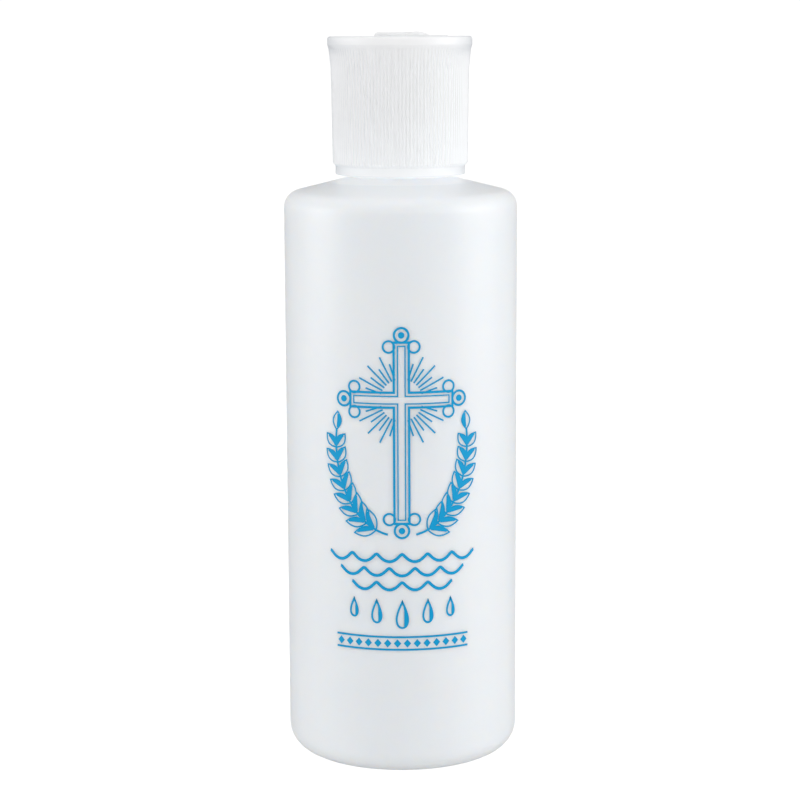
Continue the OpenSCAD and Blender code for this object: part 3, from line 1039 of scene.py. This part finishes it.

# %% [markdown]
# ## Plastics, foam and ink
# A finish names its own colours and amounts, and the light that sinks into the plastic is set on the
# shader itself: natural polyethylene scatters light over a millimetre or two, which is more than the wall
# is thick, so the bottle glows a little where light falls on its far side. On the cap a painted shade
# darkens the colour where the wall is seen edge on and draws a thin darker edge; a Layer Weight node does it.

# %% One plastic for all
WHITE = (1, 1, 1, 1)
PAINTED_EDGE_SHADE_BLEND = 0.42
GRAIN_DEPTH = 0.02
PLASTIC_IOR = 1.5


def plastic(
    name, clear, milky, cloud_scale, satin, shine, hairlines, fine, bump, sss, radius,
    depth=(1.0, 1.0, 1.0), painted_glow=BLACK, reach=0, between=(0, 0), gloss=0.5, painted_edge_shade=WHITE,
):
    """Natural plastic: cloudy colour, rubbed satin skin, mould grain and light scattered inside.

    painted_glow is a painted light, a glow added as emission in gaps no wider than reach and between two
    heights, and painted_edge_shade is a painted shade, the colour by which the plastic is multiplied where it
    is seen edge on. Lengths are in mm.
    """
    material = bpy.data.materials.new(name)
    material.use_nodes = True
    tree = material.node_tree
    skin = tree.nodes["Principled BSDF"]

    def place(group, **values):
        node = tree.nodes.new("ShaderNodeGroup")
        node.node_tree = group
        for label, value in values.items():
            node.inputs[label].default_value = value
        return node.outputs[0]

    body = place(cloud, Clear=clear, Milky=milky, Scale=cloud_scale)
    # Painted shade: the colour is darkened where the surface is seen edge on
    if painted_edge_shade != WHITE:
        view = tree.nodes.new("ShaderNodeLayerWeight")
        view.inputs["Blend"].default_value = PAINTED_EDGE_SHADE_BLEND
        body = mix_node(tree, view.outputs["Facing"], body, painted_edge_shade, "MULTIPLY")
    tree.links.new(body, skin.inputs["Base Color"])
    tree.links.new(place(rubbing, Satin=satin, Shine=shine, Hairlines=hairlines), skin.inputs["Roughness"])
    relief = tree.nodes.new("ShaderNodeBump")
    relief.inputs["Strength"].default_value = bump
    relief.inputs["Distance"].default_value = GRAIN_DEPTH * MM
    tree.links.new(place(grain, Fine=fine, Uneven=0.5), relief.inputs["Height"])
    tree.links.new(relief.outputs["Normal"], skin.inputs["Normal"])
    # Painted light: a glow added as emission in narrow gaps between two heights
    if painted_glow != BLACK:
        glow = place(painted_crease_glow, Light=painted_glow, Reach=reach * MM, Low=between[0] * MM, High=between[1] * MM)
        tree.links.new(glow, skin.inputs["Emission Color"])
        skin.inputs["Emission Strength"].default_value = 1.0
    skin.inputs["IOR"].default_value = PLASTIC_IOR
    skin.inputs["Specular IOR Level"].default_value = gloss
    skin.inputs["Subsurface Weight"].default_value = sss
    skin.inputs["Subsurface Radius"].default_value = depth
    skin.inputs["Subsurface Scale"].default_value = radius * MM
    return material


# %% Finishes of the pieces
finishes = {
    # Painted glow in the gap under the cap, from the top of the barrel to the cap's lower edge
    "bottle_shell": plastic(
        "milky_bottle", (0.92, 0.945, 0.96, 1), (0.945, 0.965, 0.975, 1), 40,
        satin=0.42, shine=0.1, hairlines=0.08, fine=3500, bump=0.25, sss=1.0, radius=2.2,
        depth=(1.0, 0.85, 0.72), painted_glow=(0.42, 0.405, 0.395, 1), reach=2.5, between=(BARREL_HIGH, CAP_LOW),
    ),
    # Painted shade on the cap where it is seen edge on
    "cap_body": plastic(
        "milky_cap", (0.885, 0.89, 0.9, 1), (0.91, 0.913, 0.92, 1), 90,
        satin=0.36, shine=0.08, hairlines=0.06, fine=5000, bump=0.15, sss=1.0, radius=3.0,
        painted_edge_shade=(0.78, 0.81, 0.85, 1),
    ),
    # Painted glow in the narrow gap round the spout near the rim
    "spout_body": plastic(
        "milky_spout", (0.9, 0.905, 0.915, 1), (0.92, 0.925, 0.93, 1), 120,
        satin=0.3, shine=0.08, hairlines=0.06, fine=6000, bump=0.1, sss=1.0, radius=1.8,
        painted_glow=(0.1, 0.1, 0.1, 1), reach=2, between=(RIM_Z - 1, RIM_Z + 2),
    ),
    "liner_washer": plastic(
        "foam_washer", (0.84, 0.84, 0.8, 1), (0.93, 0.93, 0.9, 1), 900,
        satin=0.8, shine=0.1, hairlines=0.0, fine=2600, bump=1.0, sss=0.2, radius=0.6,
    ),
    "front_print": plastic(
        "blue_ink", (0.0, 0.3, 0.6, 1), (0.002, 0.33, 0.63, 1), 300,
        satin=0.5, shine=0.06, hairlines=0.1, fine=5000, bump=0.15, sss=0.0, radius=0.1, gloss=0.2,
    ),
}
for piece in (bottle, cap, spout, liner, ink):
    piece.data.materials.clear()
    piece.data.materials.append(finishes[piece.name])
print("finishes", [m.name for m in finishes.values()])

# %% [markdown]
# ## Stage and light
# The photograph is a bright studio shot on white. A pale floor and an even surround give that ground. Each
# has one strength as a light, another in reflections and a third for the camera, because a surround that
# is pure white to the camera would flood the bottle if it also lit it so. Softboxes stand on the right
# and, weaker, on the left, with a fill in front and two lamps overhead.
#
# A photographer would screen the cap from the side lamps with small cards, so that its edges don't wash
# out. Light linking does that here: each side lamp comes twice, once for the bottle and once, weaker, for
# the cap. A tiny lamp inside the cap stands for the light that has come in through the milky walls.

# %% Floor and surround
def see_by(tree, strength, levels):
    """Sets a glow by the kind of ray that meets it: (lighting, in reflections, straight to the camera)."""
    lighting, reflected, straight = levels
    rays = tree.nodes.new("ShaderNodeLightPath")
    level = lighting
    for ray, seen in (("Is Glossy Ray", reflected), ("Is Camera Ray", straight)):
        level = math_node(tree, "MULTIPLY_ADD", rays.outputs[ray], seen - lighting, level)
    tree.links.new(level, strength)


FLOOR_GLOW = (0.36, 0.0, 0.86)
SURROUND = (0.62, 0.36, 1.05)
FLOOR_HALF = 6.0
FLOOR_GREY = (0.35, 0.35, 0.35, 1)
floor_mesh = bpy.data.meshes.new("floor")
floor_corners = [(FLOOR_HALF * x, FLOOR_HALF * y, 0) for x, y in ((-1, -1), (1, -1), (1, 1), (-1, 1))]
floor_mesh.from_pydata(floor_corners, [], [(0, 1, 2, 3)])
floor = bpy.data.objects.new("floor", floor_mesh)
bpy.context.scene.collection.objects.link(floor)
floor_paint = bpy.data.materials.new("pale_floor")
floor_paint.use_nodes = True
floor_skin = floor_paint.node_tree.nodes["Principled BSDF"]
floor_skin.inputs["Base Color"].default_value = FLOOR_GREY
floor_skin.inputs["Roughness"].default_value = 0.9
floor_skin.inputs["Emission Color"].default_value = WHITE
see_by(floor_paint.node_tree, floor_skin.inputs["Emission Strength"], FLOOR_GLOW)
floor_mesh.materials.append(floor_paint)

world = bpy.data.worlds.new("white_surround")
world.use_nodes = True
surround = world.node_tree.nodes["Background"]
surround.inputs["Color"].default_value = WHITE
see_by(world.node_tree, surround.inputs["Strength"], SURROUND)
bpy.context.scene.world = world
print("floor", floor.name, "surround", world.name)


# %% Lamps
def hang(data, matrix, reflected, lights):
    """Puts a lamp in the scene, unseen by the camera, for all pieces or only for those given."""
    lit = bpy.data.objects.new(data.name, data)
    lit.matrix_world = matrix
    lit.visible_camera = False
    lit.visible_glossy = reflected
    bpy.context.scene.collection.objects.link(lit)
    if lights:
        lit.light_linking.receiver_collection = bpy.data.collections.new(data.name)
        for piece in lights:
            lit.light_linking.receiver_collection.objects.link(piece)


def softbox(name, azimuth, height, distance, size, watts, reflected=True, lights=()):
    """Soft lamp aimed at the middle of the bottle. Azimuth 0 is in front, 90 on the right."""
    data = bpy.data.lights.new(name, "AREA")
    data.shape = "RECTANGLE"
    data.size, data.size_y = size
    data.energy = watts
    a = math.radians(azimuth)
    place = Vector((distance * math.sin(a), -distance * math.cos(a), height))
    aim = Vector((0, 0, rim_z / 2)) - place
    hang(data, Matrix.Translation(place) @ aim.to_track_quat("-Z", "Y").to_matrix().to_4x4(), reflected, lights)


for part, pieces, right, left in (
    ("bottle", (bottle, ink, floor), 3.7, 2.3),
    ("cap", (cap, spout, liner), 3.1, 1.4),
):
    softbox("right_" + part, azimuth=80, height=0.3, distance=0.9, size=(0.7, 0.6), watts=right, lights=pieces)
    softbox("left_" + part, azimuth=-82, height=0.2, distance=0.9, size=(0.6, 0.4), watts=left, lights=pieces)
softbox("front_fill", azimuth=0, height=0.2, distance=1.2, size=(0.6, 0.3), watts=2.6, reflected=False)
softbox("top", azimuth=0, height=1.1, distance=0.25, size=(0.7, 0.7), watts=1.5)
softbox("high_left", azimuth=-110, height=0.92, distance=0.59, size=(0.25, 0.25), watts=0.5)

INNER_LAMP_Z = CAP_LOW + 14
INNER_LAMP_R = 5
INNER_LAMP_WATTS = 0.0045
inner = bpy.data.lights.new("inside_cap", "POINT")
inner.energy = INNER_LAMP_WATTS
inner.use_shadow = False
inner.shadow_soft_size = INNER_LAMP_R * MM
hang(inner, Matrix.Translation((0, 0, INNER_LAMP_Z * MM)), False, [cap])
print("lamps", [light.name for light in bpy.data.lights])

# %% Picture settings
scene = bpy.context.scene
scene.view_settings.view_transform = "Standard"
scene.view_settings.look = "None"
scene.view_settings.exposure = 0.0
scene.cycles.max_bounces = 16
scene.cycles.diffuse_bounces = 10
print("view", scene.view_settings.view_transform, "bounces", scene.cycles.max_bounces)

# %% [markdown]
# ## Last step
# The dressed model has to fill the same box as the solids; here the scene is only brought up to date.

# %% Bring the scene up to date
bpy.context.view_layer.update()
